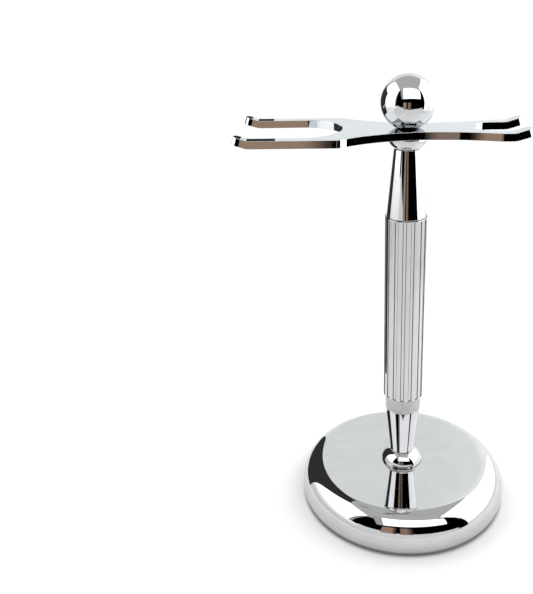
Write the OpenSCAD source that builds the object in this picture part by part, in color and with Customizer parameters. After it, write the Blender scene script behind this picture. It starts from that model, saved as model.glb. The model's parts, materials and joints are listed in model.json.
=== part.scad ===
// Razor stand: a weighted round base, a post of turned pieces and a fluted grip threaded on one
// tie rod, a flat cradle plate with a brush fork and a razor fork, and a ball finial that clamps it.
// Millimetres, +Z up. The origin is on the table, on the post's axis; the brush fork points to -X.

/* [Base] */
// Widest radius of the base cover
base_r = 35.7; // [34:0.1:42]
// Radius of the base cover at table level
base_foot_r = 34.5; // [33:0.1:40]
// Height of the base's flat top above the table
base_h = 12.8; // [12:0.1:18]
// Radius of the base's rounded shoulder
shoulder_r = 8.4; // [4:0.1:9]
// Sheet thickness of the base cover
cover_wall = 1.2; // [0.8:0.1:2]
// Thickness of the foot pad
pad_h = 1.0; // [0.8:0.1:2]
// Gap between the cover's lower edge and the table
cover_gap = 0.5; // [0.2:0.1:0.8]

/* [Post] */
// Thickness of the ring between base and lower collar
foot_ring_h = 0.5; // [0.3:0.1:1.5]
// Radius of that ring
foot_ring_r = 6.75; // [5:0.05:9]
// Largest radius of the lower collar
lower_collar_r = 7.0; // [6:0.05:9]
// Height of the lower collar
lower_collar_h = 3.5; // [3:0.1:6]
// Small end radius of the lower taper
lower_taper_r = 4.05; // [3.5:0.05:5]
// Length of the lower taper
lower_taper_h = 17.8; // [14:0.1:26]
// Large end radius of the lower taper
lower_taper_top_r = 5.95; // [5.2:0.05:6.8]
// Radius of the plain band under the grip
band_r = 6.05; // [5.5:0.05:6.8]
// Height of the plain band
band_h = 5.1; // [3:0.1:9]
// Outside radius of the fluted grip
grip_r = 6.8; // [6.4:0.05:9]
// Length of the fluted grip
grip_h = 65.3; // [50:0.1:80]
// Number of flutes round the grip
flute_count = 16; // [12:1:24]
// Width of one flute
flute_w = 1.2; // [0.8:0.05:1.4]
// Depth of one flute
flute_depth = 0.3; // [0.1:0.05:0.5]
// Large end radius of the upper taper
upper_taper_r = 6.4; // [5.8:0.05:7]
// Small end radius of the upper taper
upper_taper_top_r = 4.25; // [3.5:0.05:5]
// Length of the upper taper
upper_taper_h = 22.0; // [16:0.1:30]
// Largest radius of the upper collar
upper_collar_r = 6.15; // [5.5:0.05:8]
// Height of the upper collar
upper_collar_h = 3.95; // [3.5:0.05:4.3]

/* [Cradle plate] */
// Thickness of the plate
plate_t = 2.45; // [1.8:0.05:3]
// Half the width of the brush fork over its prongs
brush_half = 16.2; // [15:0.1:19]
// Half the width of the brush slot
brush_slot_half = 12.7; // [11:0.1:14]
// Distance from the post's axis to the closed end of the brush slot
brush_slot_end = 20.0; // [17:0.1:24]
// Distance from the post's axis to the bend in the brush prongs
brush_bend_x = 47.0; // [42:0.1:52]
// Half the width of the razor fork over its prongs
razor_half = 10.2; // [9.3:0.1:12]
// Half the width of the razor slot
razor_slot_half = 6.2; // [5:0.1:7]
// Distance from the post's axis to the closed end of the razor slot
razor_slot_end = 19.9; // [16:0.1:22]
// Distance from the post's axis to the bend in the razor prongs
razor_bend_x = 30.4; // [29:0.1:36]
// Half the width of the plate at its waist
waist_half = 6.8; // [6:0.1:7.2]
// Radius of the waist's hollow sides towards the brush fork
brush_waist_r = 43; // [36:0.5:50]
// Radius of the waist's hollow sides towards the razor fork
razor_waist_r = 68; // [60:0.5:80]
// Sideways offset of the narrowest place from the post's axis
waist_x = 6; // [4:0.5:8]
// Angle of the turned-up prong ends
tip_angle = 17; // [5:1:30]
// Distance from the post's axis to the tips of the brush prongs
brush_reach = 52.6; // [48:0.1:58]
// Distance from the post's axis to the tips of the razor prongs
razor_reach = 36.5; // [33:0.1:41]

/* [Finial] */
// Radius of the ball
ball_r = 8.6; // [7.5:0.1:10]
// Height of the ball's centre above the plate
ball_rise = 7.95; // [7:0.05:9]

/* [Hidden] */
$fn = 96;

chrome = [0.80, 0.81, 0.82];
satin = [0.62, 0.63, 0.63];
eps = 0.01;

// M5 tie rod and its fittings
rod_r = 2.5;
rod_bore_r = 2.6;
rod_swivel_r = 2.58;
nut_flats = 8;
nut_h = 4;
lock_washer_r = 4.6;
lock_washer_h = 1.2;
lock_washer_gap = 1.2;
washer_r = 5;
washer_h = 1;
nut_pocket_r = 8;

// Base heights
shoulder_z = base_h - shoulder_r;
bulge_d = base_r - base_foot_r;
bulge_r = (bulge_d * bulge_d + shoulder_z * shoulder_z) / (2 * bulge_d);
fit_gap = 0.2;
base_plate_h = 0.8;
base_plate_gap = 0.1;
base_plate_r = base_foot_r - cover_wall - base_plate_gap;
pad_r = base_plate_r - fit_gap;
weight_z = pad_h + base_plate_h;
weight_land_r = 20;
nut_recess = 0.4;
rod_z = weight_z + nut_recess;
nut_z = rod_z + nut_recess;
lock_washer_z = nut_z + nut_h;
washer_z = lock_washer_z + lock_washer_h;
pocket_top_z = washer_z + washer_h;

// Post heights
lower_collar_z = base_h + foot_ring_h;
collar_lip = 0.3;
lower_collar_arc = 5.2;
lower_taper_z = lower_collar_z + lower_collar_h;
band_z = lower_taper_z + lower_taper_h;
grip_z = band_z + band_h;
upper_taper_z = grip_z + grip_h;
upper_collar_z = upper_taper_z + upper_taper_h;
upper_collar_arc = 4.0;
upper_lip = 0.4;
plate_gap = 0.05;
plate_z = upper_collar_z + upper_collar_h + plate_gap;
plate_top = plate_z + plate_t;
ball_z = plate_top + ball_rise;

// Inside the post
grip_bore_r = 5.2;
spigot_r = 5.1;
spigot_h = 2.5;
taper_bore_r = 4.2;
taper_bore_h = 10;
taper_spigot_r = 4.1;
taper_spigot_h = 2;
bush_r = 5.15;
bush_h = 8;
flute_margin = 0.4;
flute_turn = 16.5;
plate_washer_r = 4.1;
plate_washer_h = 0.5;
washer_seat_gap = 0.1;

// Ball and insert
insert_r = 3.0;
insert_bore_r = 2.55;
insert_h = 9.4;
insert_rise = 0.25;
insert_z = plate_top + insert_rise;
ball_bore_r = 3.05;
ball_bore_room = 0.2;
ball_bore_top = insert_z + insert_h + ball_bore_room;
rod_rise = 8.65;
rod_top = plate_top + rod_rise;

// Prongs and plate corners
bend_r = 4;
bend_steps = 8;
lap = 1;
tip_run = 12;
tall_h = plate_t + tip_run + 4 * lap;
brush_corner_r = 2;
razor_corner_r = 2.5;
brush_prong_w = brush_half - brush_slot_half;
razor_prong_w = razor_half - razor_slot_half;

// Where the centre of a fork's rounded corner lies along the plate
function corner_x(dir, half, corner_r, waist_r) =
    waist_x + dir * sqrt(pow(waist_r + corner_r, 2) - pow(waist_half + waist_r - half + corner_r, 2));

// Half outline of the base, drawn in from the outer face by inset.
module base_outline(inset) {
    square([base_r - shoulder_r, base_h - inset]);
    intersection() {
        translate([base_r - shoulder_r, shoulder_z]) circle(r = shoulder_r - inset);
        translate([0, shoulder_z]) square([base_r, shoulder_r]);
    }
    intersection() {
        translate([base_r - bulge_r, shoulder_z]) circle(r = bulge_r - inset);
        square([base_r, shoulder_z]);
    }
}

// A washer or ring: outside radius, hole radius, height.
module ring(outer, hole, h) {
    difference() {
        cylinder(r = outer, h = h);
        translate([0, 0, -1]) cylinder(r = hole, h = h + 2);
    }
}

// Soft pad that the stand rests on
module foot_pad() {
    color([0.10, 0.10, 0.11])
        cylinder(r = pad_r, h = pad_h);
}

// Polished cover over the weight, open underneath
module base_cover() {
    color(chrome)
    rotate_extrude(angle = 360) difference() {
        base_outline(0);
        translate([0, -1]) square([base_r + 1, cover_gap + 1]);
        base_outline(cover_wall);
        square([rod_bore_r, base_h + 1]);
    }
}

// Cast ballast with a pocket for the nut underneath
module base_weight() {
    color([0.24, 0.24, 0.25])
    rotate_extrude(angle = 360) difference() {
        union() {
            base_outline(cover_wall + fit_gap);
            square([weight_land_r, base_h - cover_wall]);
        }
        square([base_r, weight_z]);
        square([nut_pocket_r, pocket_top_z]);
        square([rod_bore_r, base_h]);
    }
}

// Pressed disc that closes the base and carries the pad
module base_plate() {
    color([0.55, 0.56, 0.57])
        translate([0, 0, pad_h]) cylinder(r = base_plate_r, h = base_plate_h);
}

// Hexagon nut that pulls the rod down against the weight
module base_nut() {
    color([0.70, 0.71, 0.72])
    translate([0, 0, nut_z]) difference() {
        cylinder(d = nut_flats / cos(30), h = nut_h, $fn = 6);
        translate([0, 0, -1]) cylinder(r = rod_r + eps, h = nut_h + 2);
    }
}

// Split spring washer
module lock_washer() {
    color([0.45, 0.46, 0.48])
    translate([0, 0, lock_washer_z]) difference() {
        ring(lock_washer_r, rod_bore_r, lock_washer_h);
        translate([0, -lock_washer_gap / 2, -1])
            cube([washer_r + 1, lock_washer_gap, lock_washer_h + 2]);
    }
}

// Flat washer under the weight's web
module base_washer() {
    color([0.70, 0.71, 0.72])
        translate([0, 0, washer_z]) ring(washer_r, rod_bore_r, washer_h);
}

// Thin polished ring on the base top
module foot_ring() {
    color(chrome)
        translate([0, 0, base_h]) ring(foot_ring_r, rod_bore_r, foot_ring_h);
}

// Domed collar standing on the base; its arc runs from the lip up to the taper's foot
module lower_collar() {
    run = lower_collar_r - lower_taper_r;
    rise = lower_collar_h - collar_lip;
    chord = sqrt(run * run + rise * rise);
    back = sqrt(pow(lower_collar_arc, 2) - chord * chord / 4);
    arc_x = lower_taper_r + run / 2 - back * rise / chord;
    arc_z = collar_lip + rise / 2 - back * run / chord;
    color(chrome)
    translate([0, 0, lower_collar_z]) rotate_extrude(angle = 360) difference() {
        union() {
            square([lower_collar_r, collar_lip]);
            square([lower_taper_r, lower_collar_h]);
            intersection() {
                translate([arc_x, arc_z]) circle(r = lower_collar_arc);
                square([lower_collar_r, lower_collar_h]);
            }
        }
        square([rod_bore_r, lower_collar_h + 1]);
    }
}

// Turned taper, narrow end down
module lower_taper() {
    color(chrome)
    translate([0, 0, lower_taper_z]) difference() {
        cylinder(r1 = lower_taper_r, r2 = lower_taper_top_r, h = lower_taper_h);
        translate([0, 0, -1]) cylinder(r = rod_bore_r, h = lower_taper_h + 2);
        translate([0, 0, lower_taper_h - taper_bore_h]) cylinder(r = taper_bore_r, h = taper_bore_h + 1);
    }
}

// Plain satin band with a spigot into the taper and one into the grip
module band_ring() {
    color(satin)
    translate([0, 0, band_z]) difference() {
        union() {
            translate([0, 0, -taper_spigot_h]) cylinder(r = taper_spigot_r, h = taper_spigot_h);
            cylinder(r = band_r, h = band_h);
            cylinder(r = spigot_r, h = band_h + spigot_h);
        }
        translate([0, 0, -taper_spigot_h - 1])
            cylinder(r = rod_bore_r, h = taper_spigot_h + band_h + spigot_h + 2);
    }
}

// Fluted tube that the hand holds
module grip_sleeve() {
    color(chrome)
    translate([0, 0, grip_z]) difference() {
        cylinder(r = grip_r, h = grip_h);
        translate([0, 0, -1]) cylinder(r = grip_bore_r, h = grip_h + 2);
        for (i = [0 : flute_count - 1])
            rotate([0, 0, flute_turn + i * 360 / flute_count])
                translate([grip_r - flute_depth, -flute_w / 2, flute_margin])
                    cube([grip_r, flute_w, grip_h - 2 * flute_margin]);
    }
}

// Bush that centres the grip's lower end on the rod
module lower_bush() {
    color([0.88, 0.87, 0.83])
        translate([0, 0, grip_z + spigot_h]) ring(bush_r, rod_bore_r, bush_h);
}

// Bush that centres the grip's upper end on the rod
module upper_bush() {
    color([0.88, 0.87, 0.83])
        translate([0, 0, upper_taper_z - spigot_h - bush_h]) ring(bush_r, rod_bore_r, bush_h);
}

// Turned taper, wide end down, with a spigot into the grip
module upper_taper() {
    color(chrome)
    translate([0, 0, upper_taper_z]) difference() {
        union() {
            translate([0, 0, -spigot_h]) cylinder(r = spigot_r, h = spigot_h);
            cylinder(r1 = upper_taper_r, r2 = upper_taper_top_r, h = upper_taper_h);
        }
        translate([0, 0, -spigot_h - 1]) cylinder(r = rod_bore_r, h = upper_taper_h + spigot_h + 2);
        translate([0, 0, -spigot_h - 1]) cylinder(r = taper_bore_r, h = taper_bore_h);
    }
}

// Half-ball collar under the plate, flat side up, with a seat for the plate washer
module upper_collar() {
    color(chrome)
    translate([0, 0, upper_collar_z]) rotate_extrude(angle = 360) difference() {
        union() {
            translate([0, upper_collar_h - upper_lip]) square([upper_collar_r, upper_lip]);
            intersection() {
                translate([upper_collar_r - upper_collar_arc, upper_collar_h - upper_lip])
                    circle(r = upper_collar_arc);
                square([upper_collar_r, upper_collar_h - upper_lip]);
            }
            square([upper_collar_r - upper_collar_arc, upper_collar_h]);
        }
        square([rod_bore_r, upper_collar_h + 1]);
        translate([0, upper_collar_h + plate_gap - plate_washer_h]) square([plate_washer_r + washer_seat_gap, 1]);
    }
}

// Slippery washer that the plate turns on
module plate_washer() {
    color([0.90, 0.90, 0.88])
        translate([0, 0, plate_z - plate_washer_h]) ring(plate_washer_r, rod_bore_r, plate_washer_h);
}

// Rod that holds the whole post together
module tie_rod() {
    color([0.72, 0.73, 0.74])
        translate([0, 0, rod_z]) cylinder(r = rod_r, h = rod_top - rod_z);
}

// A flat shape made taller than the plate, to be trimmed to the plate's side view.
module tall() {
    translate([0, 0, -lap]) linear_extrude(height = plate_t + tip_run) children();
}

// Rounded outer corner of one fork, where its straight side meets the hollow waist.
module plate_corner(dir, half, corner_r, waist_r) {
    cy = half - corner_r;
    cx = corner_x(dir, half, corner_r, waist_r);
    reach = corner_r / (waist_r + corner_r);
    touch = [cx + (waist_x - cx) * reach, cy + (waist_half + waist_r - cy) * reach];
    tall() translate([cx, cy]) circle(r = corner_r);
    tall() polygon([[cx + dir * lap, cy], [cx, cy], touch, [waist_x - dir * lap, cy],
                    [waist_x - dir * lap, -lap], [cx + dir * lap, -lap]]);
}

// Half of one fork on the +Y side: its straight block and the prong's round end
module fork_half(dir, half, reach, prong_w, corner_r, waist_r) {
    end = reach - prong_w / 2;
    x = dir * corner_x(dir, half, corner_r, waist_r);
    tall() translate([dir > 0 ? x : -end, -lap]) square([end - x, half + lap]);
    tall() translate([dir * end, half - prong_w / 2]) circle(d = prong_w);
    plate_corner(dir, half, corner_r, waist_r);
}

// Round space beside the waist on the +Y side
module waist_hollow(r) {
    translate([waist_x, waist_half + r, -2 * lap]) cylinder(r = r, h = tall_h, $fn = 360);
}

// Half of the plate on the +Y side, with full-width fork ends
module plate_half() {
    difference() {
        union() {
            fork_half(-1, brush_half, brush_reach, brush_prong_w, brush_corner_r, brush_waist_r);
            fork_half(1, razor_half, razor_reach, razor_prong_w, razor_corner_r, razor_waist_r);
        }
        waist_hollow(brush_waist_r);
        intersection() {
            waist_hollow(razor_waist_r);
            translate([waist_x, 0, -2 * lap]) cube([brush_reach, brush_half + lap, tall_h]);
        }
    }
}

// Points of one bent face seen from the side: an arc round the bend, then a straight run.
function bent_face(bend_x, r) = concat(
    [for (i = [0 : bend_steps]) let (a = tip_angle * i / bend_steps)
        [bend_x + r * sin(a), plate_t + bend_r - r * cos(a)]],
    [[bend_x + r * sin(tip_angle) + tip_run * cos(tip_angle),
      plate_t + bend_r - r * cos(tip_angle) + tip_run * sin(tip_angle)]]);
function backwards(v) = [for (i = [len(v) - 1 : -1 : 0]) v[i]];
function mirrored(v) = [for (p = v) [-p[0], p[1]]];

// The plate's edge seen from the side, with both turned-up ends
module plate_side() {
    polygon(concat(
        bent_face(razor_bend_x, bend_r + plate_t),
        backwards(bent_face(razor_bend_x, bend_r)),
        mirrored(bent_face(brush_bend_x, bend_r)),
        backwards(mirrored(bent_face(brush_bend_x, bend_r + plate_t)))));
}

// Space of one slot, with a round closed end towards the post and open at the far side
module slot(dir, end, half) {
    x = end + half;
    translate([dir * x, 0, -2 * lap]) cylinder(r = half, h = tall_h);
    translate([dir > 0 ? x : -x - brush_reach, -half, -2 * lap]) cube([brush_reach, 2 * half, tall_h]);
}

// Flat plate with the brush fork, the razor fork and turned-up prong ends
module cradle_plate() {
    color(chrome)
    translate([0, 0, plate_z]) difference() {
        intersection() {
            union() {
                plate_half();
                mirror([0, 1, 0]) plate_half();
            }
            rotate([90, 0, 0]) translate([0, 0, -brush_half - 1])
                linear_extrude(height = 2 * brush_half + 2) plate_side();
        }
        slot(-1, brush_slot_end, brush_slot_half);
        slot(1, razor_slot_end, razor_slot_half);
        translate([0, 0, -lap]) cylinder(r = rod_swivel_r, h = plate_t + 2 * lap);
    }
}

// Threaded insert in the ball
module finial_insert() {
    color([0.78, 0.62, 0.30])
        translate([0, 0, insert_z]) ring(insert_r, insert_bore_r, insert_h);
}

// Ball that screws down on the rod and clamps the plate
module ball_finial() {
    color(chrome)
    difference() {
        translate([0, 0, ball_z]) rotate_extrude(angle = 360) intersection() {
            circle(r = ball_r);
            translate([0, -ball_rise]) square([ball_r, ball_rise + ball_r]);
        }
        translate([0, 0, plate_top - 1]) cylinder(r = ball_bore_r, h = ball_bore_top - plate_top + 1);
    }
}

foot_pad();
base_cover();
base_weight();
base_plate();
base_nut();
lock_washer();
base_washer();
foot_ring();
lower_collar();
lower_taper();
band_ring();
grip_sleeve();
lower_bush();
upper_bush();
upper_taper();
upper_collar();
plate_washer();
tie_rod();
cradle_plate();
finial_insert();
ball_finial();
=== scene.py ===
"""Razor stand: the looks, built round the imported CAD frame. Lengths in mm become metres through MM."""
import json
import math

import bmesh
import bpy
from mathutils import Matrix, Vector
from mathutils.geometry import delaunay_2d_cdt

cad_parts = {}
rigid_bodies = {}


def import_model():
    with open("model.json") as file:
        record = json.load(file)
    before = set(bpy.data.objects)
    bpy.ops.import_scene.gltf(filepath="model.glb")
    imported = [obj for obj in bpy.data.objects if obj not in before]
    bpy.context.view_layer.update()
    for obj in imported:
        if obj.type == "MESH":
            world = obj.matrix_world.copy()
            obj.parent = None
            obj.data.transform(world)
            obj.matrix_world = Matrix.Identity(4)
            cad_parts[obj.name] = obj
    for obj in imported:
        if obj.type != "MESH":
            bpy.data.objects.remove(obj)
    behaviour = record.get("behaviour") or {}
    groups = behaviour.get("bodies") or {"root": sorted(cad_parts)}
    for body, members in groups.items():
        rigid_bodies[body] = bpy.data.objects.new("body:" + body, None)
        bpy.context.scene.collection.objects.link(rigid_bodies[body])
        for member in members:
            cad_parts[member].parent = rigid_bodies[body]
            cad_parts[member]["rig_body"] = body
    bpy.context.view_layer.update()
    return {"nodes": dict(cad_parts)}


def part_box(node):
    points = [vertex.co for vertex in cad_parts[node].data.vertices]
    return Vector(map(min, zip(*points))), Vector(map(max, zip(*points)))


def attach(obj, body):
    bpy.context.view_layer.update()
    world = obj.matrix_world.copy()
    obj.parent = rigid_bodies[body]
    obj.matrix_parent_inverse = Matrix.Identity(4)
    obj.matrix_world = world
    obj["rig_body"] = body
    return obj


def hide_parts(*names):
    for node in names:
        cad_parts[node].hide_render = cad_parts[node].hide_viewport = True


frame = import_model()
MM = 0.001
# distance from a corner to the extra points that keep it crisp, and the longest step along an outline
SUPPORT = 0.06
LONGEST_STEP = 2.5
# coarsest step on a filleted corner, in degrees
FILLET_STEP = 9.0


def node_box(node):
    """A CAD node's lowest and highest corner in mm."""
    low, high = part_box(node)
    return low / MM, high / MM


# ---------------------------------------------------------------- outlines
def arc(cx, cz, radius, start, end, steps):
    """Points on an arc, angles in degrees."""
    points = []
    for i in range(steps + 1):
        a = math.radians(start + (end - start) * i / steps)
        points.append((cx + radius * math.cos(a), cz + radius * math.sin(a)))
    return points


def rounded(corners):
    """Outline through corners (x, z, fillet radius), closed, its corners turned to arcs."""
    points = []
    count = len(corners)
    for i, corner in enumerate(corners):
        here = Vector(corner[:2])
        radius = corner[2] if len(corner) > 2 else 0
        if radius <= 0:
            points.append(tuple(here))
            continue
        back = (Vector(corners[i - 1][:2]) - here).normalized()
        on = (Vector(corners[(i + 1) % count][:2]) - here).normalized()
        half = back.angle(on) / 2
        centre = here + (back + on).normalized() * (radius / math.sin(half))
        first = here + back * (radius / math.tan(half)) - centre
        last = here + on * (radius / math.tan(half)) - centre
        sweep = first.angle_signed(last)
        steps = max(3, math.ceil(math.degrees(abs(sweep)) / FILLET_STEP))
        for k in range(steps + 1):
            a = -sweep * k / steps
            x = first.x * math.cos(a) - first.y * math.sin(a)
            y = first.x * math.sin(a) + first.y * math.cos(a)
            points.append((centre.x + x, centre.y + y))
    return points


def supported(points):
    """Adds a point close to each end of every long straight run, so that curved edges stay crisp."""
    out = []
    for i, p in enumerate(points):
        q = points[(i + 1) % len(points)]
        a, b = Vector(p), Vector(q)
        run = (b - a).length
        out.append(p)
        if run > 6 * SUPPORT:
            way = (b - a) / run
            pieces = max(1, math.ceil(run / LONGEST_STEP))
            out.append(tuple(a + way * SUPPORT))
            for k in range(1, pieces):
                out.append(tuple(a + way * (run * k / pieces)))
            out.append(tuple(b - way * SUPPORT))
    return out


# ---------------------------------------------------------------- meshes
def finish_mesh(name, verts, faces, sharp=50.0):
    """A smooth-shaded object from points in mm, with its doubles merged and its normals outward."""
    mesh = bpy.data.meshes.new(name)
    mesh.from_pydata([[c * MM for c in v] for v in verts], [], faces)
    bm = bmesh.new()
    bm.from_mesh(mesh)
    bmesh.ops.remove_doubles(bm, verts=bm.verts, dist=1e-7)
    bmesh.ops.dissolve_degenerate(bm, edges=bm.edges, dist=1e-8)
    bmesh.ops.recalc_face_normals(bm, faces=bm.faces)
    bm.to_mesh(mesh)
    bm.free()
    mesh.polygons.foreach_set("use_smooth", [True] * len(mesh.polygons))
    mesh.set_sharp_from_angle(angle=math.radians(sharp))
    obj = bpy.data.objects.new(name, mesh)
    bpy.context.scene.collection.objects.link(obj)
    return obj


def lathe(name, outline, steps):
    """Turns a closed outline of (radius, z) points about the Z axis."""
    verts, rows = [], []
    for r, z in outline:
        if r < 1e-6:
            rows.append([len(verts)] * steps)
            verts.append((0, 0, z))
            continue
        rows.append(list(range(len(verts), len(verts) + steps)))
        for k in range(steps):
            a = 2 * math.pi * k / steps
            verts.append((r * math.cos(a), r * math.sin(a), z))
    faces = []
    for i, row in enumerate(rows):
        other = rows[(i + 1) % len(rows)]
        for k in range(steps):
            n = (k + 1) % steps
            face = []
            for v in (row[k], row[n], other[n], other[k]):
                if v not in face:
                    face.append(v)
            if len(face) > 2:
                faces.append(face)
    return finish_mesh(name, verts, faces)


# ---------------------------------------------------------------- materials
# metres of texture for each radian round the axis: small, so that turned marks run round a piece
TURN_SCALE = 0.0006


class Finish:
    """A procedural Principled material with short ways to add its nodes."""

    def __init__(self, name, **constants):
        self.material = bpy.data.materials.new(name)
        self.material.use_nodes = True
        self.tree = self.material.node_tree
        self.tree.nodes.clear()
        self.out = self.tree.nodes.new("ShaderNodeOutputMaterial")
        self.shader = self.add("ShaderNodeBsdfPrincipled")
        self.tree.links.new(self.shader.outputs[0], self.out.inputs["Surface"])
        self.place = self.add("ShaderNodeTexCoord").outputs["Object"]
        self.normal = None
        for key, value in constants.items():
            self.shader.inputs[key.replace("_", " ")].default_value = value

    def add(self, kind, **settings):
        node = self.tree.nodes.new(kind)
        for key, value in settings.items():
            setattr(node, key, value)
        return node

    def set(self, socket, value):
        if hasattr(value, "is_output"):
            self.tree.links.new(value, socket)
        else:
            socket.default_value = value

    def math(self, operation, a, b=0.0):
        node = self.add("ShaderNodeMath", operation=operation)
        self.set(node.inputs[0], a)
        self.set(node.inputs[1], b)
        return node.outputs[0]

    def stretch(self, scale, source):
        node = self.add("ShaderNodeMapping")
        self.set(node.inputs["Vector"], source)
        node.inputs["Scale"].default_value = scale
        return node.outputs[0]

    def noise(self, scale, detail=2.0, rough=0.5, source=None, distortion=0.0):
        """Noise with scale in features per metre."""
        node = self.add("ShaderNodeTexNoise")
        self.set(node.inputs["Vector"], source or self.place)
        node.inputs["Scale"].default_value = scale
        node.inputs["Detail"].default_value = detail
        node.inputs["Roughness"].default_value = rough
        node.inputs["Distortion"].default_value = distortion
        return node.outputs[0]

    def cells(self, scale, source=None):
        node = self.add("ShaderNodeTexVoronoi", feature="F1")
        self.set(node.inputs["Vector"], source or self.place)
        node.inputs["Scale"].default_value = scale
        return node.outputs["Distance"]

    def ramp(self, value, low, high, to_low=0.0, to_high=1.0):
        node = self.add("ShaderNodeMapRange", interpolation_type="SMOOTHSTEP")
        self.set(node.inputs["Value"], value)
        limits = {"From Min": low, "From Max": high, "To Min": to_low, "To Max": to_high}
        for key, number in limits.items():
            node.inputs[key].default_value = number
        return node.outputs[0]

    def mix(self, fac, a, b):
        node = self.add("ShaderNodeMix", data_type="RGBA")
        self.set(node.inputs["Factor"], fac)
        sockets = [s for s in node.inputs if s.type == "RGBA"]
        self.set(sockets[0], a if hasattr(a, "is_output") else (*a, 1))
        self.set(sockets[1], b if hasattr(b, "is_output") else (*b, 1))
        return [s for s in node.outputs if s.type == "RGBA"][0]

    def bump(self, height, distance):
        """Adds a layer of relief; distance is in metres for a full step of height."""
        node = self.add("ShaderNodeBump")
        node.inputs["Strength"].default_value = 1.0
        node.inputs["Distance"].default_value = distance
        self.set(node.inputs["Height"], height)
        if self.normal is not None:
            self.set(node.inputs["Normal"], self.normal)
        self.normal = node.outputs[0]

    def radius(self, point):
        """Distance of a separated point from the Z axis."""
        x, y = point.outputs[0], point.outputs[1]
        return self.math("SQRT", self.math("ADD", self.math("MULTIPLY", x, x), self.math("MULTIPLY", y, y)))

    def polar(self):
        """Coordinates (radius, height, turn) about the Z axis, for marks left by turning."""
        parts = self.add("ShaderNodeSeparateXYZ")
        self.set(parts.inputs[0], self.place)
        turn = self.math("ARCTAN2", parts.outputs[1], parts.outputs[0])
        join = self.add("ShaderNodeCombineXYZ")
        self.set(join.inputs[0], self.radius(parts))
        self.set(join.inputs[1], parts.outputs[2])
        self.set(join.inputs[2], self.math("MULTIPLY", turn, TURN_SCALE))
        return join.outputs[0]

    def done(self, colour, roughness):
        self.set(self.shader.inputs["Base Color"], colour)
        self.set(self.shader.inputs["Roughness"], roughness)
        if self.normal is not None:
            self.set(self.shader.inputs["Normal"], self.normal)
        return self.material


CHROME_DARK = (0.545, 0.55, 0.558)
CHROME_LIGHT = (0.575, 0.58, 0.586)
COOL_DARK = (0.53, 0.555, 0.58)
COOL_LIGHT = (0.56, 0.585, 0.61)
SPECK_TONE = (0.36, 0.35, 0.34)
# near-black colour of the painted shade on the flute walls
PAINTED_FLUTE_SHADE = (0.02, 0.021, 0.023)
# how far a flute's wall, duller and with painted shade, takes to ease in at its root and out at its mouth,
# in mm
ROOT_EASE = 0.05
MOUTH_EASE = 0.06


def chrome(name, wave, wave_depth, lathe_marks=0.0, low=0.012, high=0.09, seed=0.0, groove=None,
           tones=(CHROME_DARK, CHROME_LIGHT)):
    """Polished chrome plate: slow waves from polishing, fine scratches, faint haze, pin specks, and, when
    groove is given, painted shade on the flute walls.
    """
    f = Finish(name, Metallic=1.0)
    shift = f.add("ShaderNodeVectorMath", operation="ADD")
    f.set(shift.inputs[0], f.place)
    shift.inputs[1].default_value = (seed, seed * 0.7, seed * 0.3)
    shifted = shift.outputs[0]
    haze = f.noise(55.0, 4.0, 0.62, shifted, 0.6)
    cloud = f.noise(150.0, 5.0, 0.6, shifted)
    scratch_a = f.noise(1.0, 2.0, 0.5, f.stretch((9000, 160, 700), shifted))
    scratch_b = f.noise(1.0, 2.0, 0.5, f.stretch((260, 8200, 900), shifted))
    scratches = f.math("MAXIMUM", f.ramp(scratch_a, 0.70, 0.78), f.ramp(scratch_b, 0.71, 0.79))
    specks = f.ramp(f.cells(900.0, shifted), 0.05, 0.11, 1.0, 0.0)
    rough = f.ramp(f.math("MULTIPLY", haze, cloud), 0.16, 0.42, low, low + (high - low) * 0.42)
    rough = f.math("ADD", rough, f.math("MULTIPLY", scratches, (high - low) * 0.35))
    rough = f.math("ADD", rough, f.math("MULTIPLY", specks, (high - low) * 0.5))
    f.bump(f.noise(wave, 1.5, 0.4, shifted), wave_depth)
    f.bump(scratches, 0.0000012)
    if lathe_marks:
        f.bump(f.noise(5200.0, 3.0, 0.6, f.polar()), 0.0000009 * lathe_marks)
    colour = f.mix(f.ramp(cloud, 0.3, 0.7), *tones)
    colour = f.mix(f.math("MULTIPLY", specks, 0.35), colour, SPECK_TONE)
    if groove:
        # painted shade: the steep walls of the flutes are coloured near black and are duller than the rest
        parts = f.add("ShaderNodeSeparateXYZ")
        f.set(parts.inputs[0], f.polar())
        root, mouth = (r * MM for r in groove)
        flute_wall_shade_and_dullness = f.math("MULTIPLY", f.ramp(parts.outputs[0], root, root + ROOT_EASE * MM),
                      f.ramp(parts.outputs[0], mouth - MOUTH_EASE * MM, mouth, 1.0, 0.0))
        mottled_flute_shade_and_dullness = f.math("MULTIPLY", flute_wall_shade_and_dullness, f.ramp(cloud, 0.2, 0.8, 0.75, 1.0))
        colour = f.mix(mottled_flute_shade_and_dullness, colour, PAINTED_FLUTE_SHADE)
        rough = f.math("ADD", rough, f.math("MULTIPLY", mottled_flute_shade_and_dullness, 0.12))
    return f.done(colour, rough)


def satin_steel(name, dark, light, low, high, grain=3800.0):
    """Plain or satin metal with a turned grain; low and high are its roughness."""
    f = Finish(name, Metallic=1.0)
    depth = 0.000006
    lines = f.noise(grain, 3.0, 0.7, f.polar())
    blotch = f.noise(240.0, 4.0, 0.6)
    f.bump(lines, depth)
    f.bump(f.noise(1800.0, 2.0), depth * 0.6)
    mottle = f.math("ADD", f.math("MULTIPLY", lines, 0.6), f.math("MULTIPLY", blotch, 0.4))
    colour = f.mix(f.ramp(mottle, 0.35, 0.65), dark, light)
    return f.done(colour, f.ramp(lines, 0.25, 0.75, low, high))


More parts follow.
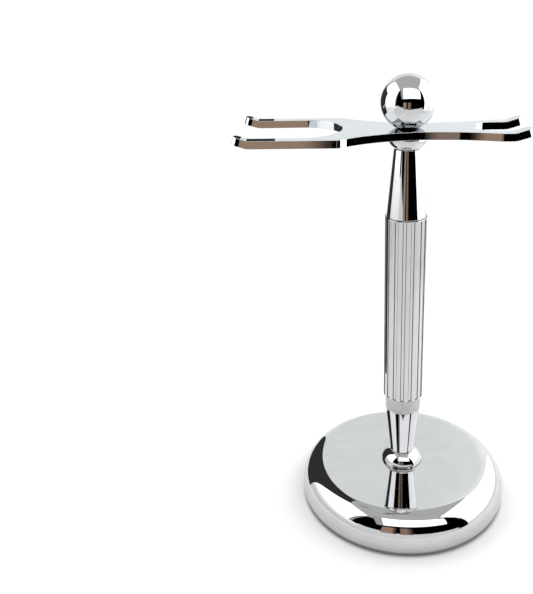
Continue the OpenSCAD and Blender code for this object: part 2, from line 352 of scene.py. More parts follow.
def rough_solid(name, dark, light, rough, pebble, depth, metallic=0.0):
    """Cast, rubber or moulded surfaces: colour that varies, grain from two sizes of relief."""
    f = Finish(name, Metallic=metallic)
    broad = f.noise(pebble * 0.12, 5.0, 0.6)
    fine = f.noise(pebble, 4.0, 0.65)
    f.bump(f.cells(pebble * 0.7), depth)
    f.bump(fine, depth * 0.7)
    mottle = f.math("ADD", f.math("MULTIPLY", broad, 0.65), f.math("MULTIPLY", fine, 0.35))
    colour = f.mix(f.ramp(mottle, 0.3, 0.7), dark, light)
    return f.done(colour, f.ramp(fine, 0.25, 0.75, rough - 0.08, rough + 0.08))


# radii in mm between which a flute's wall is steep: its root and its mouth
FLUTE_WALL = (6.505, 6.797)
MATERIALS = {
    "cover_chrome": chrome("cover_chrome", 60.0, 0.000006, 0.4, seed=0.31),
    "post_chrome": chrome("post_chrome", 120.0, 0.000006, 1.0, seed=0.83),
    # the grip's chrome carries painted shade on its flute walls
    "grip_chrome": chrome("grip_chrome", 160.0, 0.000003, 0.0, 0.02, 0.10, seed=1.37, groove=FLUTE_WALL),
    "plate_chrome": chrome("plate_chrome", 110.0, 0.000008, seed=2.11, tones=(COOL_DARK, COOL_LIGHT)),
    "ball_chrome": chrome("ball_chrome", 110.0, 0.000004, 0.4, seed=2.93),
    "band_satin": satin_steel("band_satin", (0.36, 0.36, 0.365), (0.50, 0.50, 0.505), 0.24, 0.36),
    "cast_weight": rough_solid(
        "cast_weight", (0.035, 0.035, 0.038), (0.11, 0.11, 0.115), 0.6, 1600.0, 0.00012, 0.7),
    "pad_rubber": rough_solid(
        "pad_rubber", (0.012, 0.012, 0.013), (0.035, 0.035, 0.037), 0.82, 2600.0, 0.00006),
    "plain_steel": satin_steel(
        "plain_steel", (0.38, 0.38, 0.39), (0.56, 0.565, 0.57), 0.22, 0.42, 2600.0),
    "spring_steel": satin_steel(
        "spring_steel", (0.18, 0.18, 0.19), (0.32, 0.32, 0.33), 0.30, 0.5, 2400.0),
    "white_nylon": rough_solid(
        "white_nylon", (0.62, 0.60, 0.55), (0.74, 0.73, 0.69), 0.45, 2200.0, 0.00002),
    "insert_brass": satin_steel(
        "insert_brass", (0.55, 0.36, 0.12), (0.78, 0.56, 0.24), 0.24, 0.40, 3200.0),
}
SLOT_NODES = {
    "cover_chrome": ["base_cover"],
    "post_chrome": ["foot_ring", "lower_collar", "lower_taper", "upper_taper", "upper_collar"],
    "grip_chrome": ["grip_sleeve"],
    "plate_chrome": ["cradle_plate"],
    "ball_chrome": ["ball_finial"],
    "band_satin": ["band_ring"],
    "cast_weight": ["base_weight"],
    "pad_rubber": ["foot_pad"],
    "plain_steel": ["base_plate", "base_nut", "base_washer", "tie_rod"],
    "spring_steel": ["lock_washer"],
    "white_nylon": ["lower_bush", "upper_bush", "plate_washer"],
    "insert_brass": ["finial_insert"],
}
SLOT_OF = {node: slot for slot, nodes in SLOT_NODES.items() for node in nodes}
BODY_OF = {node: obj["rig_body"] for node, obj in frame["nodes"].items()}


def place(piece, node):
    """piece stands for a CAD node: same body, same material slot."""
    piece.data.materials.clear()
    piece.data.materials.append(MATERIALS[SLOT_OF[node]])
    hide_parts(node)
    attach(piece, BODY_OF[node])
    return piece


# bore of the post's pieces round the rod, and the softened corner of the visible rings
ROD_HOLE = 2.6
SOFT = 0.12


# ---------------------------------------------------------------- base
def cover_outline():
    """Half section of the sheet cover: flat top, round shoulder, slightly bulging side."""
    low, high = node_box("base_cover")
    shoulder_r, wall, foot_r, lip = 8.4, 1.2, 34.5, 0.3
    shoulder_x, shoulder_z = high.x - shoulder_r, high.z - shoulder_r
    bulge = high.x - foot_r
    bulge_r = (bulge ** 2 + shoulder_z ** 2) / (2 * bulge)
    bulge_x = high.x - bulge_r
    lip_z = low.z + lip
    outside = arc(shoulder_x, shoulder_z, shoulder_r, 90, 0, 60)
    drop = math.degrees(math.asin((shoulder_z - lip_z) / bulge_r))
    outside += arc(bulge_x, shoulder_z, bulge_r, 0, -drop, 18)[1:]
    outside += arc(outside[-1][0] - lip, lip_z, lip, -10, -90, 6)
    inner_r = bulge_r - wall
    rise = math.degrees(math.asin((shoulder_z - lip_z) / inner_r))
    inner_foot = bulge_x + inner_r * math.cos(math.radians(rise))
    inner = arc(inner_foot + lip, lip_z, lip, -90, -180, 6)
    inner += arc(bulge_x, shoulder_z, inner_r, -rise, 0, 10)
    inner += arc(shoulder_x, shoulder_z, shoulder_r - wall, 0, 90, 24)[1:]
    inner += [(ROD_HOLE, high.z - wall), (ROD_HOLE, high.z)]
    return supported(outside + inner)


place(lathe("base_cover_shell", cover_outline(), 256), "base_cover")


# ---------------------------------------------------------------- post
TAPER_FOOT_R = 4.05
TAPER_TOP_R = 4.25
TAPER_BORE = 4.2
TAPER_EDGE = 0.18
FINE_EDGE = 0.1
SPIGOT_EDGE = 0.2
TAPER_SPIGOT_R = 4.1
GRIP_SPIGOT_R = 5.1


def turned(name, node, corners):
    return place(lathe(name, supported(rounded(corners)), 160), node)


def foot_ring():
    low, high = node_box("foot_ring")
    turned("foot_ring_turned", "foot_ring", [
        (ROD_HOLE, low.z), (high.x, low.z, SOFT), (high.x, high.z, SOFT * 1.4), (ROD_HOLE, high.z)])


def lower_collar():
    """Domed collar: one arc from the lip up to the taper's foot."""
    low, high = node_box("lower_collar")
    lip, dome = 0.3, 5.2
    run = high.x - TAPER_FOOT_R
    rise = high.z - low.z - lip
    chord = math.hypot(run, rise)
    back = math.sqrt(dome ** 2 - chord ** 2 / 4)
    x = TAPER_FOOT_R + run / 2 - back * rise / chord
    z = low.z + lip + rise / 2 - back * run / chord
    first = math.degrees(math.atan2(low.z + lip - z, high.x - x))
    last = math.degrees(math.atan2(high.z - z, TAPER_FOOT_R - x))
    outline = [(ROD_HOLE, low.z)] + arc(high.x - SOFT, low.z + SOFT, SOFT, -90, 0, 4)
    outline += arc(x, z, dome, first, last, 40) + [(ROD_HOLE, high.z)]
    place(lathe("lower_collar_turned", supported(outline), 192), "lower_collar")


def lower_taper():
    low, high = node_box("lower_taper")
    bore_floor = high.z - 10
    turned("lower_taper_turned", "lower_taper", [
        (ROD_HOLE, low.z), (TAPER_FOOT_R, low.z, FINE_EDGE), (high.x, high.z, TAPER_EDGE),
        (TAPER_BORE, high.z), (TAPER_BORE, bore_floor), (ROD_HOLE, bore_floor)])


def band_ring():
    """Plain ring with a spigot into the taper below and one into the grip above."""
    low, high = node_box("band_ring")
    foot = node_box("lower_taper")[1].z
    top = node_box("grip_sleeve")[0].z
    turned("band_ring_satin", "band_ring", [
        (ROD_HOLE, low.z), (TAPER_SPIGOT_R, low.z, SPIGOT_EDGE), (TAPER_SPIGOT_R, foot),
        (high.x, foot, FINE_EDGE), (high.x, top, FINE_EDGE), (GRIP_SPIGOT_R, top),
        (GRIP_SPIGOT_R, high.z, SPIGOT_EDGE), (ROD_HOLE, high.z)])


def upper_taper():
    low, high = node_box("upper_taper")
    foot = node_box("grip_sleeve")[1].z
    bore_roof = low.z + 9
    turned("upper_taper_turned", "upper_taper", [
        (ROD_HOLE, bore_roof), (TAPER_BORE, bore_roof), (TAPER_BORE, low.z),
        (GRIP_SPIGOT_R, low.z, SPIGOT_EDGE), (GRIP_SPIGOT_R, foot), (high.x, foot, TAPER_EDGE),
        (TAPER_TOP_R, high.z, FINE_EDGE), (ROD_HOLE, high.z)])


def upper_collar():
    """Half-ball collar, flat side up, with a seat for the plate washer."""
    low, high = node_box("upper_collar")
    seat = node_box("plate_washer")[0].z
    seat_r, round_r = 4.2, 4.0
    lip_z = high.z - 0.4
    foot = -math.degrees(math.asin((lip_z - low.z) / round_r))
    outline = [(ROD_HOLE, low.z)] + arc(high.x - round_r, lip_z, round_r, foot, 0, 30)
    outline += arc(high.x - SOFT, high.z - SOFT, SOFT, 0, 90, 4)
    outline += [(seat_r, high.z), (seat_r, seat), (ROD_HOLE, seat)]
    place(lathe("upper_collar_turned", supported(outline), 192), "upper_collar")


foot_ring()
lower_collar()
lower_taper()
band_ring()
upper_taper()
upper_collar()


# ---------------------------------------------------------------- fluted grip
FLUTES = 16
FLUTE_WIDTH = 1.2
FLUTE_DEPTH = 0.3
FLUTE_TURN = math.radians(16.5)
# plain length at each end of the grip, and the small step that keeps a flute's end crisp
FLUTE_MARGIN = 0.4
CRISP = 0.04


def flute_section(outer):
    """One turn of the grip's cross-section as (angle, radius), with flat-bottomed flutes and eased edges."""
    wall, mouth, root = 0.1, 0.1, 0.16
    half = FLUTE_WIDTH / 2
    foot = half - wall
    floor = outer - FLUTE_DEPTH
    side = [
        (0.0, floor), (half * 0.3, floor), (half * 0.55, floor), (foot - root, floor),
        (foot - root * 0.55, floor + root * 0.12), (foot - root * 0.2, floor + root * 0.42),
        (foot, floor + root), (half - wall * 0.5, outer - mouth * 1.3),
        (half - wall * 0.1, outer - mouth * 0.7), (half + mouth * 0.35, outer - mouth * 0.22),
        (half + mouth, outer)]
    groove = [(-w, r) for w, r in reversed(side[1:])] + side
    pitch = 2 * math.pi / FLUTES
    rim = side[-1][0] / outer
    one = [(w / r, r) for w, r in groove]
    one += [(rim + (pitch - 2 * rim) * k / 6, outer) for k in range(1, 6)]
    return [(a + pitch * i + FLUTE_TURN, r) for i in range(FLUTES) for a, r in one]


def fluted_grip():
    """Tube swept along Z in rows of (radius, z, whether the flutes are cut there)."""
    low, high = node_box("grip_sleeve")
    outer, bore, edge, bore_edge, spans = high.x, 5.2, 0.22, 0.15, 26
    section = flute_section(outer)
    count = len(section)
    start, stop = low.z + FLUTE_MARGIN, high.z - FLUTE_MARGIN
    rows = [(r, z, False) for r, z in arc(outer - edge, low.z + edge, edge, -90, 0, 6)]
    rows += [(outer, start - CRISP, False), (outer, start, False)]
    rows += [(outer, start, True), (outer, start + CRISP, True)]
    rows += [(outer, start + (stop - start) * k / spans, True) for k in range(1, spans)]
    rows += [(outer, stop - CRISP, True), (outer, stop, True)]
    rows += [(outer, stop, False), (outer, stop + CRISP, False)]
    rows += [(r, z, False) for r, z in arc(outer - edge, high.z - edge, edge, 0, 90, 6)]
    rows += [(bore + bore_edge, high.z, False), (bore, high.z - bore_edge, False)]
    rows += [(bore, low.z + bore_edge, False), (bore + bore_edge, low.z, False)]
    verts, faces = [], []
    for r, z, cut in rows:
        for a, radius in section:
            here = radius if cut else r
            verts.append((here * math.cos(a), here * math.sin(a), z))
    for i in range(len(rows)):
        j = (i + 1) % len(rows)
        for k in range(count):
            n = (k + 1) % count
            faces.append([i * count + k, i * count + n, j * count + n, j * count + k])
    return finish_mesh("grip_fluted", verts, faces, 60.0)


place(fluted_grip(), "grip_sleeve")


# ---------------------------------------------------------------- cradle plate
PLATE_LOW, PLATE_HIGH = node_box("cradle_plate")
PLATE_T = 2.45
BEND_R = 4.0
TIP_ANGLE = math.radians(17)
# radius and length of the bent ends' middle layer, which keeps its length
NEUTRAL = BEND_R + PLATE_T / 2
BEND_RUN = NEUTRAL * TIP_ANGLE
BENDS = {-1: 47.0, 1: 30.4}
BEND_STEPS = 10
BEND_LINES = [way * (x + BEND_RUN * k / BEND_STEPS)
              for way, x in BENDS.items() for k in range(BEND_STEPS + 1)]
WAIST_X = 6.0
WAIST_HALF = 6.8
PIVOT_BORE = 2.58
# nearest that two points of the outline may lie
MERGE = 1e-4


def bent(x, y, z):
    """Where a point of the flat plate lies once the prong ends are turned up; z is from the underside."""
    way = -1 if x < 0 else 1
    past = abs(x) - BENDS[way]
    if past <= 0:
        return x, y, PLATE_LOW.z + z
    a = min(past / NEUTRAL, TIP_ANGLE)
    radius = BEND_R + PLATE_T - z
    on = max(0.0, past - BEND_RUN)
    bx = BENDS[way] + radius * math.sin(a) + on * math.cos(TIP_ANGLE)
    bz = PLATE_T + BEND_R - radius * math.cos(a) + on * math.sin(TIP_ANGLE)
    return way * bx, y, PLATE_LOW.z + bz


def flat_reach(way, reach):
    """Length of the flat blank whose bent lower edge comes out to reach."""
    lower = BENDS[way] + (BEND_R + PLATE_T) * math.sin(TIP_ANGLE)
    return BENDS[way] + BEND_RUN + (reach - lower) / math.cos(TIP_ANGLE)


BRUSH_FLAT = flat_reach(-1, -PLATE_LOW.x)
RAZOR_FLAT = flat_reach(1, PLATE_HIGH.x)


def plan_outline():
    """The plate's flat outline, anticlockwise, as (x, y, outward normal x, y)."""
    brush = dict(half=16.2, slot=12.7, end=20.0, reach=BRUSH_FLAT, corner=2.0, waist=43.0)
    razor = dict(half=10.2, slot=6.2, end=19.9, reach=RAZOR_FLAT, corner=2.5, waist=68.0)
    step_x = 1.6

    def line(points, x0, x1, y, ny):
        """A straight run along X, with a point on every bend line that it crosses."""
        crossed = [b for b in BEND_LINES if min(x0, x1) < b < max(x0, x1)]
        steps = sorted({x0, x1, *crossed}, reverse=x1 < x0)
        xs = [steps[0]]
        for a, b in zip(steps, steps[1:]):
            parts = max(1, math.ceil(abs(b - a) / step_x))
            xs += [a + (b - a) * k / parts for k in range(1, parts + 1)]
        points += [(x, y, 0.0, ny) for x in xs]

    def bow(points, cx, cy, r, start, end, inward=False, step=4.0):
        """An arc; inward when the plate lies outside it."""
        steps = max(4, math.ceil(abs(end - start) / step))
        side = -1.0 if inward else 1.0
        for k in range(steps + 1):
            a = math.radians(start + (end - start) * k / steps)
            x, y = math.cos(a), math.sin(a)
            points.append((cx + r * x, cy + r * y, side * x, side * y))

    def corner_centre(way, fork):
        drop = WAIST_HALF + fork["waist"] - fork["half"] + fork["corner"]
        reach = math.sqrt((fork["waist"] + fork["corner"]) ** 2 - drop ** 2)
        return WAIST_X + way * reach, fork["half"] - fork["corner"]

    top = []
    prong = (razor["half"] - razor["slot"]) / 2
    tip_x = razor["reach"] - prong
    slot_x = razor["end"] + razor["slot"]
    bow(top, slot_x, 0, razor["slot"], 180, 90, True)
    line(top, slot_x, tip_x, razor["slot"], -1.0)
    bow(top, tip_x, razor["half"] - prong, prong, -90, 90, step=9)
    cx, cy = corner_centre(1, razor)
    line(top, tip_x, cx, razor["half"], 1.0)
    waist_y = WAIST_HALF + razor["waist"]
    touch = math.degrees(math.atan2(waist_y - cy, WAIST_X - cx))
    bow(top, cx, cy, razor["corner"], 90, touch, step=6)
    bow(top, WAIST_X, waist_y, razor["waist"], touch - 180, -90, True, 0.9)
    bx, by = corner_centre(-1, brush)
    waist_y = WAIST_HALF + brush["waist"]
    end = math.degrees(math.atan2(by - waist_y, bx - WAIST_X))
    bow(top, WAIST_X, waist_y, brush["waist"], -90, end, True, 1.2)
    bow(top, bx, by, brush["corner"], end + 180, 90, step=6)
    prong = (brush["half"] - brush["slot"]) / 2
    tip_x = -(brush["reach"] - prong)
    slot_x = -(brush["end"] + brush["slot"])
    line(top, bx, tip_x, brush["half"], 1.0)
    bow(top, tip_x, brush["half"] - prong, prong, 90, 270, step=9)
    line(top, tip_x, slot_x, brush["slot"], -1.0)
    bow(top, slot_x, 0, brush["slot"], 90, 0, True)
    mirrored = [(x, -y, nx, -ny) for x, y, nx, ny in reversed(top)]
    points = []
    for p in top + mirrored:
        if not points or math.dist(p[:2], points[-1][:2]) > MERGE:
            points.append(p)
    if math.dist(points[0][:2], points[-1][:2]) <= MERGE:
        points.pop()
    return points


def inside(point, ring):
    """Whether a plan point lies within a closed ring of points."""
    found = False
    previous = ring[-1]
    for here in ring:
        if (here[1] > point.y) != (previous[1] > point.y):
            along = (point.y - here[1]) / (previous[1] - here[1])
            if point.x < (previous[0] - here[0]) * along + here[0]:
                found = not found
        previous = here
    return found


def edge_profile():
    """The plate's edge from top to underside as (inset, z), both corners eased."""
    ease, near, steps = 0.08, 0.04, 6
    turns = [math.radians(90 * k / steps) for k in range(steps + 1)]
    profile = [(ease + near, PLATE_T)]
    profile += [(ease - ease * math.sin(a), PLATE_T - ease + ease * math.cos(a)) for a in turns]
    profile += [(0.0, PLATE_T - ease - near), (0.0, ease + near)]
    profile += [(ease - ease * math.cos(a), ease - ease * math.sin(a)) for a in turns]
    return profile + [(ease + near, 0.0)]


def edge_wall(points, shrink, verts, faces):
    """Adds the edge all round a closed outline; returns its top and bottom rows of points."""
    rows = []
    for inset, z in edge_profile():
        rows.append(list(range(len(verts), len(verts) + len(points))))
        verts += [(x - nx * inset * shrink, y - ny * inset * shrink, z) for x, y, nx, ny in points]
    for a, b in zip(rows, rows[1:]):
        for k in range(len(points)):
            n = (k + 1) % len(points)
            faces.append([a[k], a[n], b[n], b[k]])
    return rows[0], rows[-1]


def fill(ring, hole, verts, faces):
    """Adds a flat face with a hole, cut along the bend lines."""
    ids = ring + hole
    coords = [Vector(verts[i][:2]) for i in ids]
    count = len(ring)
    edges = [(k, (k + 1) % count) for k in range(count)]
    edges += [(count + k, count + (k + 1) % len(hole)) for k in range(len(hole))]
    for bend in BEND_LINES:
        here = [k for k in range(count) if abs(coords[k].x - bend) < MERGE]
        here.sort(key=lambda k: coords[k].y)
        edges += zip(here[0::2], here[1::2])
    found, _, tris, origin, _, _ = delaunay_2d_cdt(coords, edges, [], 0, 1e-7)
    names = []
    for k, point in enumerate(found):
        if origin[k]:
            names.append(ids[origin[k][0]])
        else:
            names.append(len(verts))
            verts.append((point.x, point.y, verts[ring[0]][2]))
    for tri in tris:
        centre = sum((found[k] for k in tri), Vector((0, 0))) / 3
        if inside(centre, coords[:count]) and not inside(centre, coords[count:]):
            faces.append([names[k] for k in tri])


def bent_plate():
    """The plate made flat, its edges eased, then its prong ends turned up."""
    bore_points = 48
    hole_ease = 0.35
    hole = [(PIVOT_BORE * math.cos(a), PIVOT_BORE * math.sin(a), -math.cos(a), -math.sin(a))
            for a in (2 * math.pi * k / bore_points for k in range(bore_points))]
    verts, faces = [], []
    top, under = edge_wall(plan_outline(), 1.0, verts, faces)
    hole_top, hole_under = edge_wall(hole, hole_ease, verts, faces)
    fill(top, hole_top, verts, faces)
    fill(under, hole_under, verts, faces)
    return finish_mesh("cradle_plate_bent", [bent(*v) for v in verts], faces, 60.0)


place(bent_plate(), "cradle_plate")


# ---------------------------------------------------------------- ball
def ball():
    """Ball with a blind bore for the insert from below."""
    low, high = node_box("ball_finial")
    radius, bore, room = high.x, 3.05, 0.2
    centre = high.z - radius
    foot = math.degrees(math.acos(bore / radius)) - 1.2
    outline = [(0, high.z)] + arc(0, centre, radius, 90, -foot, 84)[1:]
    mouth_z = outline[-1][1]
    roof = node_box("finial_insert")[1].z + room
    outline += [(bore + 0.06, mouth_z - 0.13), (bore, mouth_z - 0.02), (bore, roof), (0, roof)]
    return lathe("ball_turned", outline, 192)


place(ball(), "ball_finial")


# ---------------------------------------------------------------- tie rod
THREAD_PITCH = 0.8
THREAD_DEPTH = 0.42
THREAD_STEP = 0.1
LOWER_THREAD = 9.0
UPPER_THREAD = 24.0
ROD_R = 2.5
ROD_STEPS = 40
# length over which the crest eases off at the rod's ends, and its slope
CHAMFER = 0.8
CHAMFER_SLOPE = 0.45
SHANK_RELIEF = 0.05


def thread_radius(z, turn, end_z):
    """Radius of the thread at a height and turn; the crest eases off towards the rod's end."""
    phase = ((z - THREAD_PITCH * turn / (2 * math.pi)) / THREAD_PITCH) % 1.0
    flank = abs(2 * phase - 1)
    groove = min(1.0, max(0.0, (flank - 0.12) / 0.76))
    eased = max(0.0, CHAMFER - abs(z - end_z))
    return ROD_R - THREAD_DEPTH * groove - CHAMFER_SLOPE * eased


def threaded_rod():
    """Rod with a plain middle and a thread at both ends."""
    low, high = node_box("tie_rod")
    shank = (low.z + LOWER_THREAD, high.z - UPPER_THREAD)
    near = 0.01
    heights = []
    for start, stop in ((low.z, shank[0]), (shank[1], high.z)):
        count = round((stop - start) / THREAD_STEP)
        heights += [start + (stop - start) * k / count for k in range(count + 1)]
    verts, faces = [], []
    for z in heights:
        end_z = low.z if z < shank[0] + near else high.z
        plain = min(abs(z - s) for s in shank) < near
        for k in range(ROD_STEPS):
            a = 2 * math.pi * k / ROD_STEPS
            r = ROD_R - SHANK_RELIEF if plain else thread_radius(z, a, end_z)
            verts.append((r * math.cos(a), r * math.sin(a), z))
    for i in range(len(heights) - 1):
        row, above = i * ROD_STEPS, (i + 1) * ROD_STEPS
        for k in range(ROD_STEPS):
            n = (k + 1) % ROD_STEPS
            faces.append([row + k, row + n, above + n, above + k])
    faces.append(list(range(ROD_STEPS))[::-1])
    faces.append([len(verts) - ROD_STEPS + k for k in range(ROD_STEPS)])
    return finish_mesh("tie_rod_threaded", verts, faces, 60.0)


place(threaded_rod(), "tie_rod")


# ---------------------------------------------------------------- discs, bushes and pad
def eased_disc(name, node, hole, edge):
    """A disc or ring with softened corners."""
    low, high = node_box(node)
    inner_edge = edge * 0.6 if hole else 0.0
    corners = [
        (hole, low.z, inner_edge), (high.x, low.z, edge), (high.x, high.z, edge), (hole, high.z, inner_edge)]
    return place(lathe(name, supported(rounded(corners)), 96), node)


eased_disc("base_plate_pressed", "base_plate", 0.0, 0.15)
eased_disc("base_washer_stamped", "base_washer", ROD_HOLE, 0.12)
eased_disc("lower_bush_moulded", "lower_bush", ROD_HOLE, 0.3)
eased_disc("upper_bush_moulded", "upper_bush", ROD_HOLE, 0.3)
eased_disc("plate_washer_moulded", "plate_washer", ROD_HOLE, 0.1)


def ribbed_pad():
    """Soft pad with a rounded rim and shallow ring grooves underneath."""
    low, high = node_box("foot_pad")
    width, slope, depth, edge = 1.5, 0.25, 0.3, 0.1
    rim, top_rim = 0.3, 0.15
    corners = [(0.0, low.z)]
    for r in (8.0, 14.0, 20.0, 26.0):
        roof = low.z + depth
        corners += [(r, low.z, edge), (r + slope, roof, edge), (r + width - slope, roof, edge)]
        corners += [(r + width, low.z, edge)]
    corners += [(high.x, low.z, rim), (high.x, high.z, top_rim), (0.0, high.z)]
    return place(lathe("foot_pad_ribbed", supported(rounded(corners)), 128), "foot_pad")


ribbed_pad()

# ---------------------------------------------------------------- carried-over CAD nodes
for node, obj in frame["nodes"].items():
    if not obj.hide_render:
        obj.data.materials.clear()
        obj.data.materials.append(MATERIALS[SLOT_OF[node]])


# ---------------------------------------------------------------- stage
def glow(name, colour, strength, fade=None):
    """Plain light; fade = (axis, from, to, strength there) eases the strength along one axis, in mm."""
    material = bpy.data.materials.new(name)
    material.use_nodes = True
    tree = material.node_tree
    tree.nodes.clear()
    out = tree.nodes.new("ShaderNodeOutputMaterial")
    emit = tree.nodes.new("ShaderNodeEmission")
    emit.inputs["Color"].default_value = (*colour, 1)
    emit.inputs["Strength"].default_value = strength
    tree.links.new(emit.outputs[0], out.inputs["Surface"])
    if fade:
        axis, start, stop, other = fade
        where = tree.nodes.new("ShaderNodeTexCoord")
        parts = tree.nodes.new("ShaderNodeSeparateXYZ")
        ease = tree.nodes.new("ShaderNodeMapRange")
        ease.interpolation_type = "SMOOTHSTEP"
        limits = {"From Min": start * MM, "From Max": stop * MM, "To Min": strength, "To Max": other}
        for key, number in limits.items():
            ease.inputs[key].default_value = number
        tree.links.new(where.outputs["Object"], parts.inputs[0])
        tree.links.new(parts.outputs[axis], ease.inputs["Value"])
        tree.links.new(ease.outputs[0], emit.inputs["Strength"])
    return material


def panel(name, corners, colour, strength, glossy_only=False, fade=None):
    """A flat light or flag, not seen by the camera itself."""
    mesh = bpy.data.meshes.new(name)
    verts = [tuple(c * MM for c in corner) for corner in corners]
    mesh.from_pydata(verts, [], [list(range(len(corners)))])
    mesh.materials.append(glow(name, colour, strength, fade))
    obj = bpy.data.objects.new(name, mesh)
    bpy.context.scene.collection.objects.link(obj)
    obj.visible_camera = False
    obj.visible_shadow = False
    if glossy_only:
        obj.visible_diffuse = False


WHITE = (1.0, 1.0, 1.0)
BLACK = (0.0, 0.0, 0.0)
COOL_WHITE = (0.972, 1.0, 0.985)
COOL_WHITE_HIGH = (0.972, 1.0, 0.99)
WARM_LEFT = (1.0, 0.66, 0.46)
WARM_RIGHT = (1.0, 0.69, 0.52)
LIT = 2.3
# the room of light panels, in mm
LEFT, RIGHT, FRONT, BACK = -231.0, 231.0, -215.0, 320.0
SKIRT, BACK_SPLIT, ROOF = 90.0, 200.0, 480.0
RIGHT_END, RIGHT_SKIRT = -112.0, 30.0
# the warm cards stand just inside the front panel
CARD_Y = FRONT + 3
# the dark surround outside the room
OUT = 30.0
FAR_LEFT, FAR_RIGHT = -RIGHT - OUT, RIGHT + OUT + 60
FAR_FRONT, FAR_BACK, FAR_Z = FRONT - OUT, BACK + OUT, ROOF + OUT
DARK_TOP_BACK = -60.0


def upright(name, a, b, z0, z1, colour, strength, **more):
    """A vertical panel from plan point a to plan point b."""
    panel(name, [(*a, z0), (*b, z0), (*b, z1), (*a, z1)], colour, strength, **more)


upright("light_left", (LEFT, -150), (LEFT, 260), SKIRT, ROOF, WHITE, LIT)
upright("left_edge", (LEFT, -172), (LEFT, -150), SKIRT, ROOF, WHITE, 0.45, glossy_only=True)
upright("light_left_low", (LEFT, FRONT), (LEFT, BACK), 0, SKIRT, WHITE, 0.95, fade=(2, 30, 88, 1.6))
upright("light_right", (RIGHT, RIGHT_END), (RIGHT, BACK), RIGHT_SKIRT, ROOF, WHITE, LIT)
upright("light_right_low", (RIGHT, RIGHT_END), (RIGHT, BACK), 0, RIGHT_SKIRT, WHITE, 1.15)
panel("light_top_front",
      [(-102, -248, 231), (275, -248, 231), (275, -153, 458), (-102, -114, 400)], WHITE, LIT)
panel("top_front_edge",
      [(-143, -248, 231), (-103, -248, 231), (-103, -114, 400), (-143, -100, 382)], WHITE, 0.55,
      glossy_only=True)
panel("ceiling",
      [(LEFT, -190, ROOF), (RIGHT, -225, ROOF), (RIGHT, BACK, ROOF), (LEFT, BACK, ROOF)], WHITE, 0.68)
upright("back_low", (LEFT, BACK), (RIGHT, BACK), 0, BACK_SPLIT, COOL_WHITE, 1.12, fade=(0, 20, 200, 1.42))
upright("back_high", (LEFT, BACK), (RIGHT, BACK), BACK_SPLIT, ROOF, COOL_WHITE_HIGH, 1.14,
        fade=(0, 20, 200, 1.38))
panel("front_low",
      [(LEFT, FRONT, 0), (300, FRONT, 0), (300, FRONT, 40), (215, FRONT, 46), (124, FRONT, 56),
       (0, FRONT, 63), (-87, FRONT, 79), (-180, FRONT, 94), (LEFT, FRONT, 112)], WHITE, 1.03)
upright("front_warm_a", (-88, CARD_Y), (-26, CARD_Y), 58, 165, WARM_LEFT, 0.5, glossy_only=True,
        fade=(0, -50, -27, 0.02))
upright("front_warm_b", (-13, CARD_Y), (34, CARD_Y), 54, 165, WARM_RIGHT, 0.36, glossy_only=True,
        fade=(0, 8, 33, 0.05))
upright("flag_box", (-91, 22), (-50, 78), 0, 176, WHITE, 0.045, glossy_only=True)
upright("dark_left", (FAR_LEFT, FAR_FRONT), (FAR_LEFT, FAR_BACK), 0, FAR_Z, BLACK, 0, glossy_only=True)
upright("dark_right", (FAR_RIGHT, FAR_FRONT), (FAR_RIGHT, FAR_BACK), 0, FAR_Z, BLACK, 0, glossy_only=True)
upright("dark_front", (FAR_LEFT, FAR_FRONT), (FAR_RIGHT, FAR_FRONT), 0, FAR_Z, BLACK, 0, glossy_only=True)
panel("dark_top",
      [(FAR_LEFT, FAR_FRONT, FAR_Z), (FAR_RIGHT, FAR_FRONT, FAR_Z), (FAR_RIGHT, DARK_TOP_BACK, FAR_Z),
       (FAR_LEFT, DARK_TOP_BACK, FAR_Z)], BLACK, 0, glossy_only=True)


def floor_with_painted_shadow():
    """Matt pale paint with a painted contact shadow: darkest in a thin ring at the base's foot and faintly
    greyer further round it, glowing beyond the lit middle so it stays white.
    """
    f = Finish("floor_with_painted_shadow")
    f.bump(f.noise(900.0, 3.0), 0.00002)
    colour = f.mix(f.noise(12.0, 3.0), (0.80, 0.80, 0.80), (0.83, 0.83, 0.83))
    here = f.add("ShaderNodeSeparateXYZ")
    f.set(here.inputs[0], f.place)
    span = f.radius(here)
    # the wider part of the painted shadow lies towards the front left
    moved = f.add("ShaderNodeVectorMath", operation="ADD")
    f.set(moved.inputs[0], f.place)
    moved.inputs[1].default_value = (0.010, 0.012, 0.0)
    there = f.add("ShaderNodeSeparateXYZ")
    f.set(there.inputs[0], moved.outputs[0])
    # painted shadow: these rings darken the floor's colour round the base's foot
    shade = f.math("ADD", f.ramp(span, 0.0345, 0.0362, 0.6, 0.0), f.ramp(span, 0.035, 0.044, 0.05, 0.0))
    shade = f.math("ADD", shade, f.ramp(f.radius(there), 0.035, 0.080, 0.09, 0.0))
    f.done(f.mix(shade, colour, (0.12, 0.12, 0.115)), 0.7)
    emit = f.add("ShaderNodeEmission")
    emit.inputs["Color"].default_value = (1, 1, 1, 1)
    emit.inputs["Strength"].default_value = 1.05
    blend = f.add("ShaderNodeMixShader")
    f.set(blend.inputs[0], f.ramp(span, 0.14, 0.27))
    f.tree.links.new(f.shader.outputs[0], blend.inputs[1])
    f.tree.links.new(emit.outputs[0], blend.inputs[2])
    f.tree.links.new(blend.outputs[0], f.out.inputs["Surface"])
    return f.material


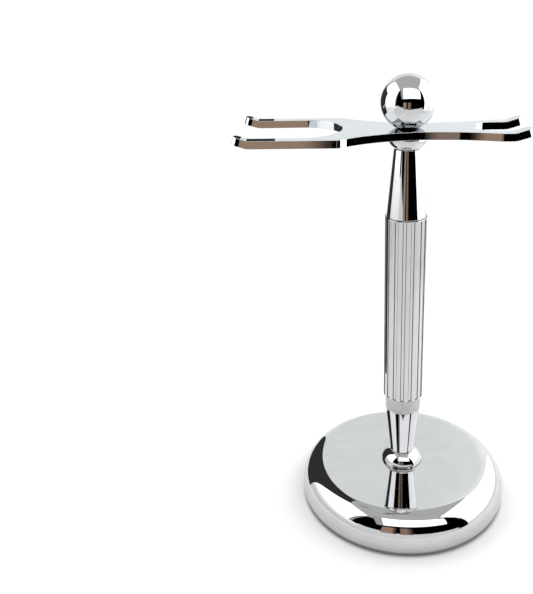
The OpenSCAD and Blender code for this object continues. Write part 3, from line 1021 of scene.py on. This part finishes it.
def ground():
    """Pale floor that rises into a plain backdrop all round."""
    steps, drop, flat_r, cove_r, wall_z = 128, -0.1, 4200.0, 800.0, 4000.0
    path = [(0.0, drop)] + [(r, drop) for r in (40.0, 80.0, 150.0, 300.0, 600.0, 1200.0, 2400.0, flat_r)]
    cove_z = 700.0
    path += [(flat_r + cove_r * math.sin(a), cove_z - cove_r * math.cos(a)) for a in
             (math.radians(90 * k / 16) for k in range(1, 17))]
    path += [(flat_r + cove_r, wall_z)]
    verts, faces, rows = [], [], []
    for r, z in path:
        if r == 0:
            rows.append([0] * steps)
            verts.append((0, 0, z))
            continue
        rows.append(list(range(len(verts), len(verts) + steps)))
        verts += [(r * math.cos(2 * math.pi * k / steps), r * math.sin(2 * math.pi * k / steps), z)
                  for k in range(steps)]
    for a, b in zip(rows, rows[1:]):
        for k in range(steps):
            n = (k + 1) % steps
            face = [a[k], a[n], b[n], b[k]] if a[k] != a[n] else [a[k], b[n], b[k]]
            faces.append(face)
    obj = finish_mesh("floor", verts, faces, 180.0)
    obj.data.materials.append(floor_with_painted_shadow())


ground()
world = bpy.data.worlds.new("studio")
world.use_nodes = True
world.node_tree.nodes["Background"].inputs["Color"].default_value = (0.004, 0.004, 0.004, 1)
world.node_tree.nodes["Background"].inputs["Strength"].default_value = 1.0
bpy.context.scene.world = world
bpy.context.scene.view_settings.view_transform = "Standard"

# ---------------------------------------------------------------- camera
yaw, pitch, roll = -0.0785, 0.3514, -0.0301
forward = Vector((math.sin(yaw) * math.cos(pitch), math.cos(yaw) * math.cos(pitch), -math.sin(pitch)))
level = Vector((math.cos(yaw), -math.sin(yaw), 0))
upward = level.cross(forward)
right = level * math.cos(roll) + upward * math.sin(roll)
up = upward * math.cos(roll) - level * math.sin(roll)
camera_data = bpy.data.cameras.new("camera")
camera = bpy.data.objects.new("camera", camera_data)
bpy.context.scene.collection.objects.link(camera)
turn = Matrix((right, up, -forward)).transposed().to_4x4()
turn.translation = Vector((-0.01457, -0.23539, 0.18471))
camera.matrix_world = turn
camera_data.sensor_fit = "VERTICAL"
camera_data.sensor_height = 24.0
camera_data.lens = 31.13
camera_data.shift_x = -0.0626
camera_data.shift_y = -0.1035
camera_data.clip_start = 0.01
camera_data.clip_end = 50.0
camera_data.dof.use_dof = False
bpy.context.scene.camera = camera
